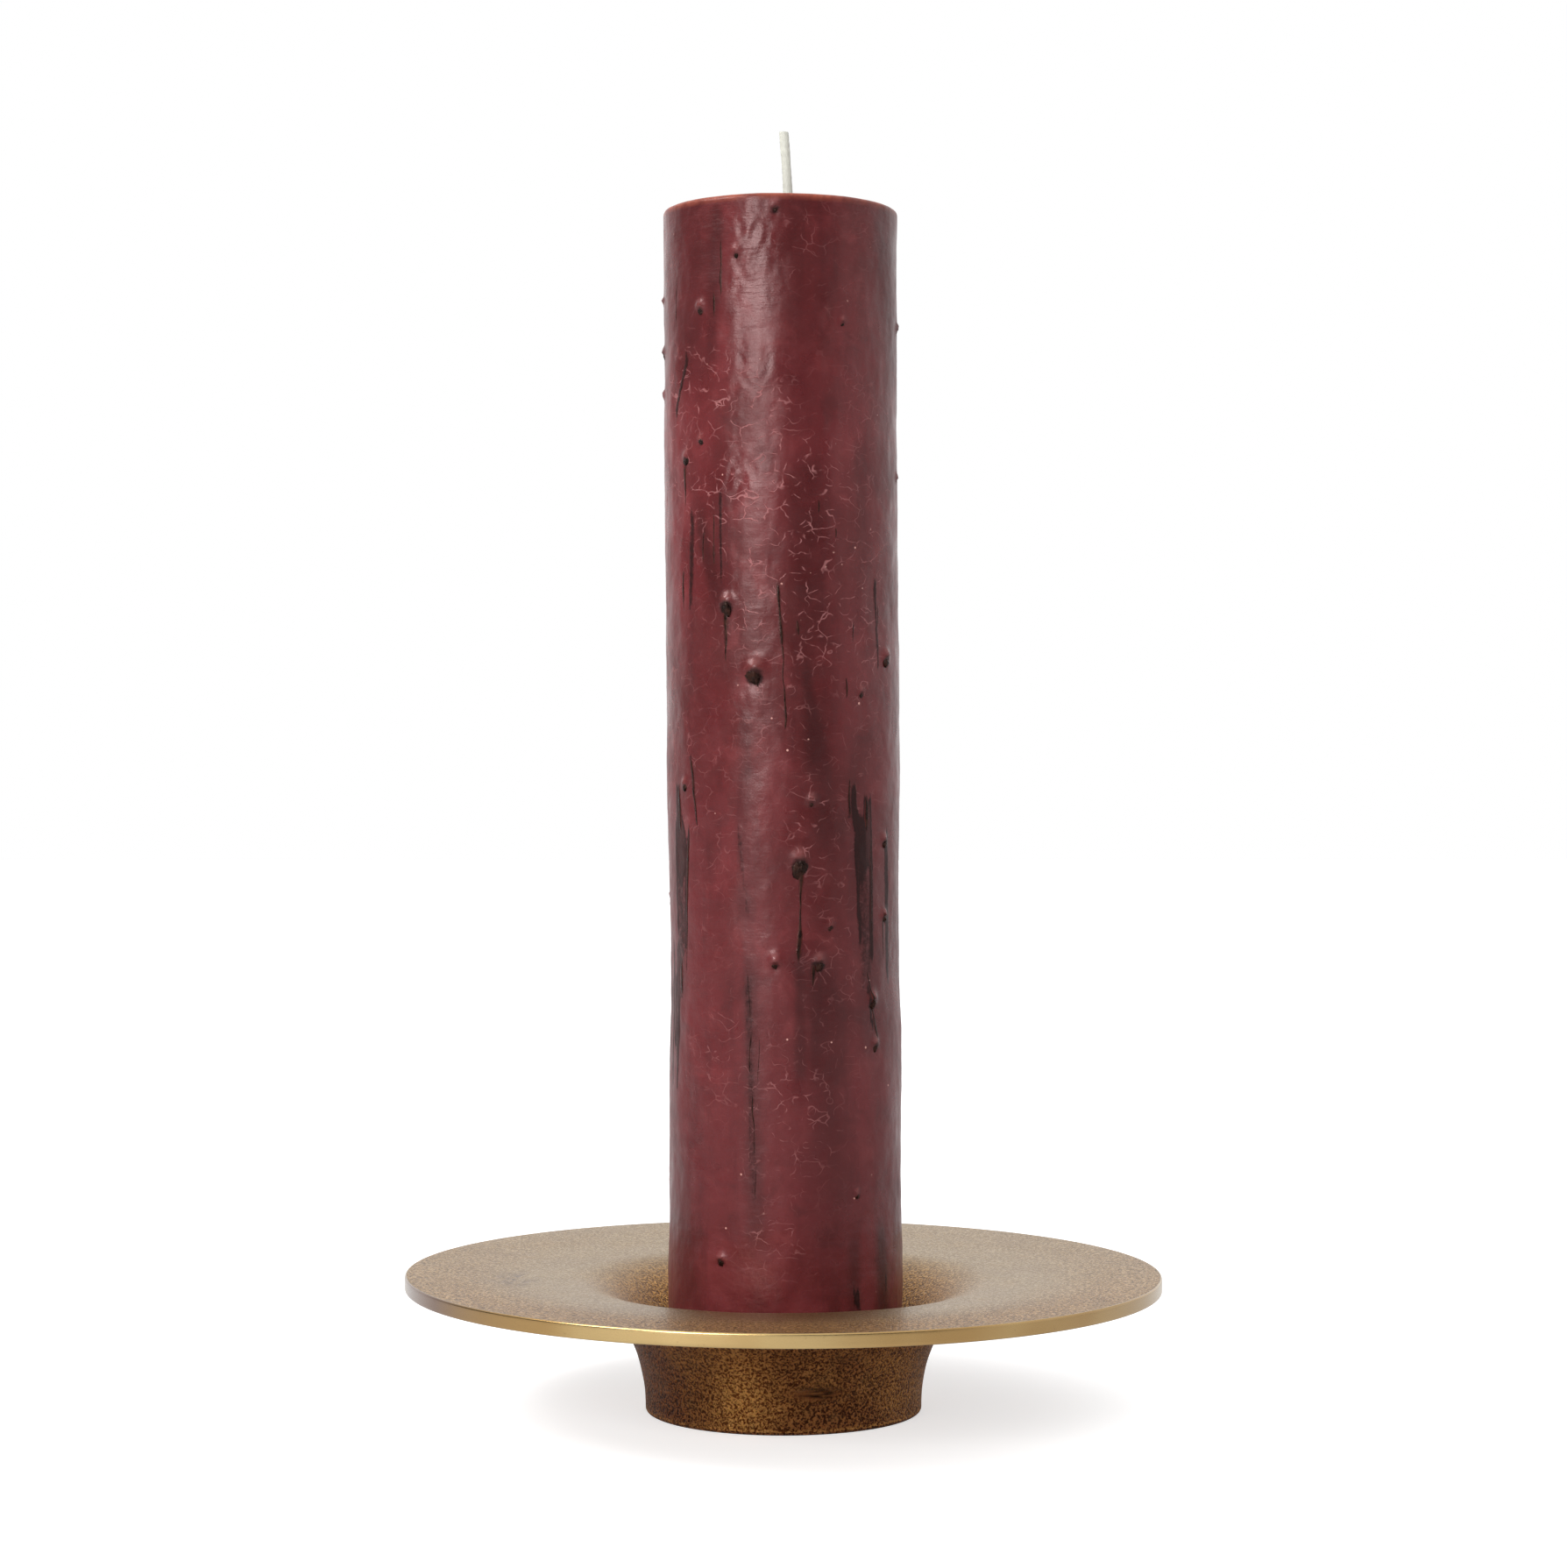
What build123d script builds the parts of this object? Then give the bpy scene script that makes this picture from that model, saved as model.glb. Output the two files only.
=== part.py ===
from build123d import *
import os
from math import asin, atan, copysign, cos, degrees, radians, sin

# A pillar candle standing in a flared brass dish.  Millimetres, +Z up, origin on the table
# under the middle of the foot.  The front of the object faces -Y, and a "turn" is an angle
# about +Z counted from the front towards +X.

# --- Candle, a standard 60 x 300 pillar ------------------------------------------------------
CANDLE_R = 30.0
CANDLE_LENGTH = 300.0
CANDLE_TOP_ROUND = 1.2
CANDLE_BOTTOM_ROUND = 1.5

# --- Wick --------------------------------------------------------------------------------------
WICK_R = 1.2
WICK_OFFSET_X = 1.2  # the wick is a little off the candle's axis
WICK_FREE_LENGTH = 20.8  # what stands out of the wax
WICK_TIP_X = 0.1  # the free end leans back over the axis
WICK_END_GAP = 4.0  # wax left under the lower end

# --- Brass dish, foot and cup, cast in one piece -----------------------------------------------
RIM_R = 96.45
RIM_TOP_Z = 35.6
RIM_EDGE_HEIGHT = 3.6
RIM_TOP_CHAMFER = 0.45
RIM_BOTTOM_CHAMFER = 0.3
DISH_SLOPE = 0.053  # the plate falls this much per millimetre towards the throat
CUP_CLEARANCE = 1.0  # around the candle
CUP_FLOOR_Z = 6.5
CUP_FLOOR_FILLET = 0.8
CUP_WALL_TOP_Z = 12.5  # above this the throat starts to flare
THROAT_FLARE = 27.0  # how far the throat spreads before it meets the plate
FOOT_R = 35.3
FOOT_CORNER = 1.0
FOOT_FLARE = 18.2  # how far the outside spreads before it meets the plate
PAD_STANDS_PROUD = 0.4

# --- Felt pad under the foot -------------------------------------------------------------------
PAD_R = 30.8
PAD_THICKNESS = 2.0
PAD_RECESS_GAP = 0.3

# --- Black wax that ran down the candle and set -------------------------------------------------
# Beads: (turn in degrees, height above the table, width, how far it stands out)
BEADS = [
    (-21, 292, 2.6, 0.7),
    (-2, 303, 2.4, 0.7),
    (-41, 279, 2.6, 0.7),
    (31, 275, 1.8, 0.5),
    (-42, 246, 2.0, 0.5),
    (-53, 242, 2.4, 0.7),
    (-27, 205, 4.0, 1.0),
    (61, 192, 3.2, 0.9),
    (-13, 188, 4.6, 1.2),
    (41, 183, 1.8, 0.5),
    (-56, 160, 2.2, 0.6),
    (14, 156, 2.4, 0.7),
    (8, 141, 4.2, 1.1),
    (58, 146, 2.4, 0.6),
    (58, 127, 2.8, 0.8),
    (17, 116, 3.0, 0.9),
    (-4, 116, 3.0, 0.9),
    (23, 125, 1.8, 0.5),
    (48, 106, 3.2, 0.9),
    (50, 95, 2.4, 0.6),
    (-32, 42, 2.6, 0.7),
    (37, 58, 1.8, 0.5),
    (-84, 283, 2.0, 0.6),
    (-82, 259, 2.2, 0.7),
    (82, 276, 2.4, 0.8),
    (81, 238, 2.0, 0.6),
    (118, 262, 3.0, 0.8),
    (156, 214, 3.6, 1.0),
    (205, 176, 4.2, 1.1),
    (240, 238, 2.8, 0.8),
    (262, 131, 3.4, 0.9),
    (176, 98, 3.0, 0.9),
    (128, 146, 3.2, 0.9),
    (276, 270, 2.6, 0.7),
    (226, 74, 2.8, 0.8),
]
# Runs: (turn in degrees, height of the thick end, height of the thin end, width of the thick end)
RUNS = [
    (-29, 281, 295, 1.0),
    (-54, 239, 231, 1.2),
    (-28, 202, 191, 1.5),
    (-56, 212, 204, 1.1),
    (0, 208, 178, 1.2),
    (-47, 166, 151, 1.2),
    (9, 138, 118, 1.6),
    (14, 115, 110, 1.6),
    (-60, 274, 287, 1.0),
    (-34, 216, 227, 0.9),
    (34, 153, 161, 1.0),
    (44, 149, 157, 1.2),
    (-62, 149, 159, 1.3),
    (-62, 109, 116, 1.3),
    (-15.5, 90, 99, 1.0),
    (-15, 82, 67, 0.9),
    (118, 259, 240, 1.4),
    (156, 210, 186, 1.5),
    (205, 172, 140, 1.6),
    (262, 127, 108, 1.3),
    (128, 143, 118, 1.3),
    (176, 95, 79, 1.2),
    (240, 235, 215, 1.3),
    (100, 181, 195, 1.0),
    (146, 151, 183, 1.1),
    (170, 246, 261, 1.0),
    (222, 263, 283, 1.0),
]
RUN_THICKNESS = 0.45
RUN_TAPER = 0.4  # width of the thin end over that of the thick end


def flare(centre_x, centre_z, reach, height, stop_slope):
    """Quarter ellipse that rises from upright at its foot to the given slope at its top."""
    top_angle = 90 + degrees(atan(stop_slope * reach / height))
    return EllipticalCenterArc((centre_x, centre_z), reach, height, start_angle=top_angle,
                               arc_size=180 - top_angle)


def ends(edge):
    """The two ends of an edge, from the lower to the higher."""
    return sorted((edge @ 0, edge @ 1), key=lambda point: point.Y)


def make_dish_casting():
    """Plate, throat, cup and foot as one turned profile: x is the radius and y the height."""
    cup_r = CANDLE_R + CUP_CLEARANCE
    recess_r = PAD_R + PAD_RECESS_GAP
    corner_z = PAD_STANDS_PROUD + FOOT_CORNER
    rim_under_z = RIM_TOP_Z - RIM_EDGE_HEIGHT

    plate_top_z = RIM_TOP_Z - DISH_SLOPE * (RIM_R - cup_r - THROAT_FLARE)
    throat = flare(cup_r + THROAT_FLARE, CUP_WALL_TOP_Z, THROAT_FLARE,
                   plate_top_z - CUP_WALL_TOP_Z, DISH_SLOPE)
    throat_low, throat_high = ends(throat)

    plate_under_z = rim_under_z - DISH_SLOPE * (RIM_R - FOOT_R - FOOT_FLARE)
    outside = flare(FOOT_R + FOOT_FLARE, corner_z, FOOT_FLARE, plate_under_z - corner_z, DISH_SLOPE)
    outside_low, outside_high = ends(outside)
    corner = CenterArc((FOOT_R - FOOT_CORNER, corner_z), FOOT_CORNER, -90, 90)
    floor_fillet = CenterArc((cup_r - CUP_FLOOR_FILLET, CUP_FLOOR_Z + CUP_FLOOR_FILLET),
                             CUP_FLOOR_FILLET, -90, 90)

    underside = Polyline((0, PAD_THICKNESS), (recess_r, PAD_THICKNESS),
                         (recess_r, PAD_STANDS_PROUD), corner @ 0)
    edge = Polyline(outside_high,
                    (RIM_R - RIM_BOTTOM_CHAMFER, rim_under_z),
                    (RIM_R, rim_under_z + RIM_BOTTOM_CHAMFER),
                    (RIM_R, RIM_TOP_Z - RIM_TOP_CHAMFER),
                    (RIM_R - RIM_TOP_CHAMFER, RIM_TOP_Z),
                    throat_high)
    cup_wall = Line(throat_low, floor_fillet @ 1)
    middle = Polyline(floor_fillet @ 0, (0, CUP_FLOOR_Z), (0, PAD_THICKNESS))
    outline = [underside, corner, outside, edge, throat, cup_wall, floor_fillet, middle]
    profile = Plane.XZ * make_face([piece.edges() for piece in outline])
    return revolve(profile, Axis.Z)


def make_felt_pad():
    """Felt disc glued into the recess under the foot; its lower face is the table plane."""
    return Pos(0, 0, PAD_THICKNESS / 2) * Cylinder(PAD_R, PAD_THICKNESS)


def make_candle_wax():
    """Wax pillar with softened edges and a hole along it that the wick fills."""
    pillar = Pos(0, 0, CUP_FLOOR_Z + CANDLE_LENGTH / 2) * Cylinder(CANDLE_R, CANDLE_LENGTH)
    rims = pillar.edges().filter_by(GeomType.CIRCLE).sort_by(Axis.Z)
    pillar = fillet(rims[-1], CANDLE_TOP_ROUND)
    rims = pillar.edges().filter_by(GeomType.CIRCLE).sort_by(Axis.Z)
    pillar = fillet(rims[0], CANDLE_BOTTOM_ROUND)
    bore_length = CANDLE_LENGTH - WICK_END_GAP
    bore_middle = CUP_FLOOR_Z + WICK_END_GAP + bore_length / 2
    return pillar - Pos(WICK_OFFSET_X, 0, bore_middle) * Cylinder(WICK_R, bore_length)


def make_wick():
    """Cotton wick: straight through the wax, then bent towards the candle's axis above it."""
    wax_top = CUP_FLOOR_Z + CANDLE_LENGTH
    low = (WICK_OFFSET_X, 0, CUP_FLOOR_Z + WICK_END_GAP)
    out = (WICK_OFFSET_X, 0, wax_top)
    tip = (WICK_TIP_X, 0, wax_top + WICK_FREE_LENGTH)
    buried = Line(low, out)
    free = TangentArc(out, tip, tangent=(0, 0, 1))
    section = Plane(origin=low, z_dir=(0, 0, 1)) * Circle(WICK_R)
    return sweep(section, path=buried + free)


def candle_cutter():
    """The candle's round side, used to give the set wax an inner face that fits it."""
    return Pos(0, 0, CUP_FLOOR_Z + CANDLE_LENGTH / 2) * Cylinder(CANDLE_R, 2 * CANDLE_LENGTH)


def make_beads():
    """Round beads of wax, each a cap of a ball cut off by the candle's side."""
    side = candle_cutter()
    beads = []
    for turn, height, width, rise in BEADS:
        ball_r = (width**2 / 4 + rise**2) / (2 * rise)
        reach = CANDLE_R + rise - ball_r
        angle = radians(turn)
        ball = Pos(reach * sin(angle), -reach * cos(angle), height) * Sphere(ball_r)
        beads.append(ball - side)
    return Compound(children=[solid for bead in beads for solid in bead.solids()])


def drop_outline(thick_z, thin_z, thick_r, thin_r):
    """Upright drop: a large and a small round end joined by the lines that touch both."""
    way = copysign(1, thin_z - thick_z)
    lean = asin((thick_r - thin_r) / abs(thin_z - thick_z))
    thick_side = Vector(thick_r * cos(lean), thick_z + way * thick_r * sin(lean))
    thin_side = Vector(thin_r * cos(lean), thin_z + way * thin_r * sin(lean))
    thick_other = Vector(-thick_side.X, thick_side.Y)
    thin_other = Vector(-thin_side.X, thin_side.Y)
    thick_end = ThreePointArc(thick_other, (0, thick_z - way * thick_r), thick_side)
    thin_end = ThreePointArc(thin_side, (0, thin_z + way * thin_r), thin_other)
    sides = [Line(thick_side, thin_side), Line(thin_other, thick_other)]
    return make_face([piece.edges() for piece in (thick_end, sides[0], thin_end, sides[1])])


def make_runs():
    """Tapered runs of wax: a drop outline cut out of a thin skin, ending where a bead sits."""
    skin_height = CUP_FLOOR_Z + CANDLE_LENGTH
    skin = Pos(0, 0, skin_height / 2) * Cylinder(CANDLE_R + RUN_THICKNESS, skin_height)
    skin -= candle_cutter()
    beads = make_beads()
    runs = []
    for turn, thick_z, thin_z, width in RUNS:
        thick_r = width / 2
        drop = drop_outline(thick_z, thin_z, thick_r, thick_r * RUN_TAPER)
        stem = extrude(Plane.XZ * drop, amount=CANDLE_R + 2 * RUN_THICKNESS)
        runs.append((skin & (Rot(0, 0, turn) * stem)) - beads)
    return Compound(children=[solid for run in runs for solid in run.solids()])


PARTS = {
    "dish_casting": make_dish_casting,
    "felt_pad": make_felt_pad,
    "candle_wax": make_candle_wax,
    "wick": make_wick,
    "black_wax_beads": make_beads,
    "black_wax_runs": make_runs,
}

os.makedirs("parts", exist_ok=True)
for name, make in PARTS.items():
    export_step(make(), os.path.join("parts", name + ".step"))
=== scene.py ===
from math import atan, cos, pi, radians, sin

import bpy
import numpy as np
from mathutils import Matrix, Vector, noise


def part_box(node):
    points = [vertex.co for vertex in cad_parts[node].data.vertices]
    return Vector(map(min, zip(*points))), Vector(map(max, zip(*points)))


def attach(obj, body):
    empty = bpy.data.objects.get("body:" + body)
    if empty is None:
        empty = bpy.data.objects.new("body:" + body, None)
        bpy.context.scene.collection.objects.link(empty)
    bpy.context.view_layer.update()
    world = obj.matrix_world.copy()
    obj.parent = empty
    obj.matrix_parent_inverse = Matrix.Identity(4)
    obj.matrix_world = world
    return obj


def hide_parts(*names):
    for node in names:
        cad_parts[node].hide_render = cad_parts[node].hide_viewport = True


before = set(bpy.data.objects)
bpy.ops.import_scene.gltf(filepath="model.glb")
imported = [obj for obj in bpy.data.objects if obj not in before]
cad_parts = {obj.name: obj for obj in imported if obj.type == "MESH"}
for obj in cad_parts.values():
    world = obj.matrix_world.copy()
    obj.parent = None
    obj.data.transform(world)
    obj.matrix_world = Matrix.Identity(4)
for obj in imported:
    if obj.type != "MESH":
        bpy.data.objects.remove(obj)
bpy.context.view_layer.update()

# Looks of the pillar candle holder: a cast brass dish with an antique finish, and a burgundy
# pillar candle with beads and runs of black wax. Metres throughout, in the frame of the CAD.
# A "turn" is an angle about +Z, counted from the front (-Y) towards +X: in degrees in the
# tables, in radians in the functions.

MM = 0.001

# --- Sizes read from the frame ---
DISH_LOW, DISH_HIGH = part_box("dish_casting")
WAX_LOW, WAX_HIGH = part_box("candle_wax")
PAD_LOW, PAD_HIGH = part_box("felt_pad")
WICK_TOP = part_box("wick")[1].z
RIM_R = (DISH_HIGH.x - DISH_LOW.x) / 2
RIM_TOP = DISH_HIGH.z
FOOT_BOTTOM = DISH_LOW.z - 0.38 * MM  # the felt gives way under the weight
CUP_FLOOR = WAX_LOW.z
WAX_TOP = WAX_HIGH.z
CANDLE_R = (WAX_HIGH.x - WAX_LOW.x) / 2
PAD_R = (PAD_HIGH.x - PAD_LOW.x) / 2
PAD_TOP = PAD_HIGH.z

# --- Shape of the dish, as in the CAD ---
CUP_R = CANDLE_R + 1.0 * MM
CUP_WALL_TOP = 12.5 * MM
FLOOR_FILLET = 0.8 * MM
THROAT_FLARE = 27.0 * MM
DISH_SLOPE = 0.053
RIM_EDGE = 3.6 * MM
RIM_TOP_ROUND = 0.5 * MM
RIM_BOTTOM_ROUND = 0.35 * MM
FOOT_R = 35.3 * MM
FOOT_CORNER = 1.0 * MM
FOOT_FLARE = 18.2 * MM
PAD_GAP = 0.3 * MM
PLATE_TILT = 0.0033  # how much lower the cast plate sits per metre to the right
DISH_COLUMNS = 512
# Waves of the cast skin, above and on the foot: (count round, per metre, size in millimetres)
PLATE_WAVES = [(2, 40, 0.05), (3, 90, 0.05), (5, 150, 0.04), (9, 260, 0.03), (14, 420, 0.025)]
FOOT_WAVES = [(3, 120, 0.05), (7, 260, 0.05), (13, 500, 0.04), (21, 700, 0.025)]
# The oval scar low on the foot: a dent with a raised lip
SCAR_TURN = radians(12.8)
SCAR_Z = 10.4 * MM
SCAR_HALF_WIDTH = 5.2 * MM
SCAR_HALF_HEIGHT = 1.3 * MM
SCAR_DEPTH = 0.65 * MM
SCAR_LIP = 0.35 * MM
# The stain on the plate: its middle and half sizes along X and Y
SPOT_X, SPOT_Y = -68 * MM, -7 * MM
SPOT_HALF_X, SPOT_HALF_Y = 4.5 * MM, 9 * MM
# Painted light and shade: bright patches on the foot, the front one being the key light's painted
# highlight, and dark patches on the polished band, the left one being painted shade: (turn, half
# width in degrees, share)
BRIGHT_ON_FOOT = [(-16, 15, 1.0), (52, 16, 0.3), (112, 22, 0.6), (175, 30, 0.7), (248, 18, 0.6)]
DARKER_ON_BAND = [(-68, 16, 1.5), (44, 20, 0.25), (118, 26, 0.4), (200, 30, 0.4)]

# --- Shape of the candle ---
CANDLE_COLUMNS = 300
CANDLE_ROW = 0.95 * MM
TOP_ROUND = 1.1 * MM
BOTTOM_ROUND = 1.5 * MM
SKIN_INSET = 0.1 * MM  # how far the wax lies inside the CAD's cylinder, without its lumps
BASE_RING = 0.5  # radius of the base's ring of vertices, as a share
TOP_RINGS = [0.97, 0.9, 0.8, 0.65, 0.5, 0.35, 0.22, 0.13, 0.08]
LEAN_LOW = 0.5 * MM  # X of the candle's axis at LEAN_FROM
LEAN_HIGH = -1.05 * MM  # and at its top: it leans a little to the left
LEAN_FROM = 30 * MM
LUMP_SIZE = 0.23 * MM
LUMP_SCALE = 85.0  # lumps per metre
SWELL_SIZE = 0.3 * MM
SWELL_SCALE = 36.0
CRUMPLE_SIZE = 0.22 * MM
CRUMPLE_SCALE = 150.0
# Slow waves left by dipping, and those of the top: (count round, per metre, size in millimetres)
SIDE_WAVES = [(2, 20, 0.08), (3, 45, 0.06), (5, 80, 0.06), (8, 150, 0.045), (13, 260, 0.02),
              (11, 620, 0.012)]
TOP_WAVES = [(2, 60, 0.06), (3, 130, 0.05), (5, 220, 0.04)]
DRIP_WAVES = [(31, 1, 2.5), (47, 1, 2.5), (83, 1, 2.0)]  # how unevenly stains end
# Dents where the side is flat, and swellings: (turn, height, half width in degrees, half height,
# how far in), lengths in millimetres
HOLLOWS = [(-86, 119, 36, 36, 1.0), (-90, 140, 45, 80, 0.22), (88, 108, 36, 20, 0.4),
           (92, 297, 40, 22, -0.3), (-90, 295, 36, 9, 0.25)]
# Crumpled patches, written the same way, with how strongly at the end
CRUMPLED = [(-13, 294, 15, 10, 1), (-15, 262, 10, 8, 1), (-22, 236, 11, 9, 1), (-14, 214, 9, 8, 1),
            (160, 286, 30, 10, 1), (215, 250, 20, 12, 1)]

# Beads of black wax: (turn, height, width, how far the wax round it stands out, how much of its
# width is bare), lengths in millimetres
BEADS = [
    (-21, 292, 2.4, 0.6, 0.7), (-2, 303, 2.6, 0.7, 0.65), (-41, 279, 2.4, 0.7, 0.75),
    (31, 275, 1.5, 0.4, 0.8), (-42, 246, 1.8, 0.5, 1), (-53, 242, 2.2, 0.6, 1),
    (-27, 205, 3.2, 0.9, 1.25), (61, 192, 3, 0.8, 1), (-13, 188, 4.2, 1.1, 1.25),
    (41, 183, 1.6, 0.4, 1), (-56, 160, 2, 0.5, 1), (14, 156, 2.2, 0.6, 0.6),
    (8, 141, 4, 0.6, 1.25), (58, 146, 2.2, 0.6, 1), (58, 127, 2.2, 0.7, 1), (17, 116, 2.6, 0.7, 1),
    (-4, 116, 2.6, 0.8, 0.8), (23, 125, 1.6, 0.4, 1), (48, 106, 2.8, 0.8, 1),
    (50, 95, 2.2, 0.6, 1), (-32, 42, 2.2, 0.7, 1), (118, 262, 3, 0.8, 1), (156, 214, 3.6, 1, 1),
    (205, 176, 4, 1, 1), (240, 238, 2.8, 0.8, 1), (262, 131, 3.2, 0.5, 0.8),
    (176, 98, 2.8, 0.8, 1), (128, 146, 3, 0.9, 1), (276, 270, 2.4, 0.6, 1), (226, 74, 2.6, 0.7, 1),
    (-84, 283, 1.8, 0.5, 0.4), (-82, 259, 2, 0.6, 0.4), (82, 276, 2, 0.6, 0.35),
    (81, 238, 1.8, 0.5, 0.4), (37, 58, 1.4, 0.4, 1),
]
BEAD_RINGS, BEAD_COLUMNS = 16, 26
BEAD_CUTS = 11  # flat cuts that make a bead angular
BEAD_HALF = (0.40, 0.52, 0.24)  # half sizes across, up and outward, as shares of the width

# Runs of black wax: (turn and height of the upper end, turn and height of the lower end, widths in
# tenths of a millimetre from the upper end to the lower one)
RUNS = [
    (-29, 296, -29.3, 281, (2, 5, 4, 6, 2)), (-33, 283, -33, 276, (3, 6, 3)),
    (-60, 286, -60.5, 276, (2, 4, 2)), (-51, 266, -60, 255, (2, 5, 3.5, 1.5)),
    (-54, 240, -54, 229, (13, 11, 7, 4, 2)), (-56, 214, -56, 203, (9, 7, 8, 4, 2)),
    (-27.4, 204.5, -27.8, 190, (20, 13, 8, 6, 4.5, 2.5)),
    (-1.8, 210, 0.2, 194, (6, 9, 5.5, 7, 10, 4)), (0.2, 195, 1.8, 173, (5, 3.5, 3, 4.5, 6, 3)),
    (7.8, 201, 7.8, 196.5, (3, 7, 2)), (-34, 228, -34, 214, (2, 4, 3, 5, 2)),
    (-40, 224, -41, 215, (2, 4, 5, 2)), (18, 231, 18, 227, (2, 5, 2)),
    (27, 224, 27, 221, (2, 5, 2)), (36.5, 201, 36.5, 195, (2, 4, 2)),
    (54.5, 206, 54.4, 199, (2, 5, 3, 2)), (32, 187, 32, 181, (3, 6, 2)),
    (-50.5, 167, -46, 149, (7, 9, 8, 7, 3)), (34, 162, 34, 152, (3, 6, 8, 9)),
    (8.8, 141, 8.2, 129, (26, 15, 8, 5.5, 5)), (8.2, 130, 7.2, 116, (5, 5, 8, 14, 13, 5)),
    (14.2, 116, 14, 109.5, (9, 11, 7, 2.5)), (43.7, 114, 52.4, 95, (5, 4, 7, 5, 10, 3)),
    (-62, 160, -61, 148, (6, 12, 13, 8)), (-53.5, 147, -57, 112, (6, 11, 9, 7, 4, 3, 2)),
    (-62, 116, -62, 107, (8, 14, 9)), (44, 157, 44.5, 148, (9, 14, 8)),
    (47, 146, 47.5, 122, (3, 5, 3, 6, 2)), (57, 128, 57, 116, (9, 6, 4, 2)),
    (-17.5, 114, -16, 101, (1, 3, 1.5, 3, 1)), (-15.8, 99, -17, 88, (1.5, 4, 2, 5, 1.5)),
    (-15.2, 84, -14.6, 68, (1.5, 5, 4, 1.5, 2, 1)), (-13.6, 66, -14.4, 57, (1, 1.5, 2, 1)),
    (-12, 98, -12.4, 86, (1, 2, 1)), (118, 260, 118, 238, (17, 9, 6, 5, 2)),
    (156, 211, 157, 184, (19, 10, 7, 5, 8, 3)), (205, 173, 204, 138, (20, 10, 7, 5, 9, 12, 4)),
    (240, 236, 240, 214, (14, 7, 4, 2)), (262, 128, 262, 106, (16, 8, 5, 8, 3)),
    (176, 96, 176, 78, (14, 7, 4, 2)), (128, 144, 129, 116, (15, 8, 5, 9, 3)),
    (170, 262, 171, 244, (3, 7, 4, 2)), (222, 284, 222, 262, (3, 7, 5, 6, 2)),
    (100, 196, 100, 180, (4, 7, 3)), (92, 120, 93, 96, (4, 9, 5, 7, 3)),
    (190, 236, 189, 222, (3, 6, 2)), (146, 184, 147, 150, (4, 8, 5, 9, 6, 3)),
]
RUN_COLUMNS = 9
RUN_ROW = 0.4 * MM
RUN_STRETCH = 20  # millimetres over which a run wanders
RUN_SUNK = 0.04 * MM
RUN_CROWN = 0.06 * MM

# Soft stains: (turn and height of the upper end, turn and height of the lower end, width at the
# upper and the lower end in millimetres, darkness)
STAINS = [
    (-64, 159, -61, 146, 1.6, 3, 1), (-61, 151, -60, 136, 5.4, 5, 0.85),
    (-61, 140, -62, 117, 5, 4, 0.32), (-54, 147, -58, 118, 1.6, 0.8, 1),
    (-66, 150, -66, 124, 1.3, 1.1, 0.7), (-65, 118, -65, 114, 1.8, 1.6, 0.9),
    (36, 163, 38, 146, 0.8, 1.8, 0.95), (45, 157, 46, 138, 2.4, 2.4, 0.95),
    (41.5, 151, 42, 137, 5.2, 5.6, 0.5), (42, 140, 43.5, 110, 5.6, 4.2, 0.28),
    (37, 150, 39.5, 122, 1.1, 0.8, 0.6), (47, 144, 47.5, 116, 1, 0.8, 0.6),
    (44, 112, 48, 99, 1, 0.9, 0.6), (-17, 112, -15, 57, 2.6, 2, 0.25),
    (-16, 93, -16, 80, 1.4, 1.2, 0.32), (-14.5, 78, -14, 66, 1, 0.9, 0.26),
    (-30, 232, -30, 212, 1.2, 0.8, 0.4), (-48, 230, -50, 205, 2, 1.6, 0.4),
    (-22, 150, -17, 127, 1.2, 0.9, 0.22), (58, 40, 58, 30, 1, 0.8, 0.5),
    (36, 37, 37, 27, 1.6, 1.8, 0.85), (60, 150, 62, 112, 2, 2, 0.6),
    (52, 212, 54, 190, 1.2, 0.8, 0.5), (-60, 288, -60, 276, 1.2, 1, 0.25),
    (-51, 266, -61, 254, 1.6, 1.2, 0.5),
]

# Broad soft patches where the wax is painted a darker red: partly darker wax, partly painted shade
# where less light falls, as the wide ones at the upper left and the right of the front; written the
# same way
SHADES = [
    (12, 186, 17, 168, 2.5, 6, 0.9), (16, 172, 24, 150, 5, 10, 0.75),
    (20, 114, 23, 88, 13, 11, 0.7), (8, 114, 8, 90, 2.5, 3.5, 0.8), (15, 110, 15, 92, 3, 3, 0.7),
    (24, 76, 20, 38, 14, 18, 0.45), (35, 44, 35, 22, 4, 4, 0.7), (24, 30, 24, 12, 4, 5, 0.7),
    (54, 46, 56, 14, 5, 7, 0.95), (-56, 62, -54, 30, 9, 12, 0.45), (-42, 224, -33, 208, 4, 5, 0.8),
    (-31, 300, -35, 270, 4, 3.5, 0.7), (-50, 306, -46, 264, 18, 14, 0.5),
    (4, 292, 9, 250, 6, 12, 0.35), (15, 304, 17, 60, 17, 18, 0.3),
    (-48, 190, -44, 130, 14, 16, 0.3), (12, 236, 16, 204, 12, 8, 0.5),
    (-17, 176, -20, 128, 3, 4, 0.35), (-16, 112, -14, 52, 4, 5, 0.6), (40, 170, 47, 96, 9, 9, 0.4),
    (96, 288, 100, 150, 14, 10, 0.5), (140, 200, 150, 90, 16, 12, 0.5),
    (190, 270, 198, 160, 12, 16, 0.45), (238, 250, 250, 100, 14, 18, 0.5),
    (290, 140, 286, 50, 12, 14, 0.45),
]

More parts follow.
